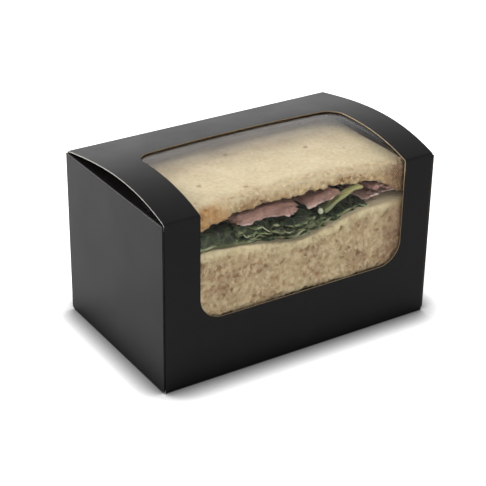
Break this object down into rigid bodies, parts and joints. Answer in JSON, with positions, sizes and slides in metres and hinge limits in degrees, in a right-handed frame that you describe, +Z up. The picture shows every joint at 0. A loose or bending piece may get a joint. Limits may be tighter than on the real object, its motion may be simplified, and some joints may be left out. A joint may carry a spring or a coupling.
{
  "type": "sandwich box",
  "caption": "Black card sandwich box with a bowed top, a clear window over its front-top fold and hinged end flaps, packed with a cut sandwich.",
  "frame": {"origin": "middle of the closed box on the surface it stands on", "axes": "+X along the box to the right, -Y is the front with the window, +Z up"},
  "size_m": [0.125, 0.077, 0.0774],
  "materials": {
    "black_card": "black card with a light satin sheen, brown at its cut edges",
    "clear_film": "thin clear film, glossy",
    "bread": "white bread, matt, open crumb on the cut faces and a thin golden crust",
    "ham": "cooked ham, moist, satin",
    "leaf": "dark green salad leaf, slightly waxy",
    "stalk": "yellow-green leaf stalk, slightly waxy"
  },
  "bodies": {
    "carton": {"carton": "black_card", "window_film": "clear_film", "lower_bottom_slice": "bread", "lower_top_slice": "bread", "upper_bottom_slice": "bread", "upper_top_slice": "bread", "lower_ham_left": "ham", "lower_ham_right": "ham", "upper_ham_middle": "ham", "upper_ham_small": "ham", "upper_ham_right": "ham", "lower_leaf": "leaf", "lower_leaf_back": "leaf", "upper_leaf_left": "leaf", "upper_leaf_left_low": "leaf", "upper_leaf_left_high": "leaf", "upper_leaf_low": "leaf", "upper_leaf_middle": "leaf", "upper_leaf_high": "leaf", "upper_leaf_stem": "stalk"},
    "end_flap_left": {"end_flap_left": "black_card"},
    "end_flap_right": {"end_flap_right": "black_card"}
  },
  "joints": [
    {"name": "left_flap_hinge", "type": "hinge", "parent": "carton", "child": "end_flap_left", "pos_m": [-0.06205, 0, 0.00045], "axis": [0, -1, 0], "range_deg": [0, 90]},
    {"name": "right_flap_hinge", "type": "hinge", "parent": "carton", "child": "end_flap_right", "pos_m": [0.06205, 0, 0.00045], "axis": [0, 1, 0], "range_deg": [0, 90]}
  ]
}
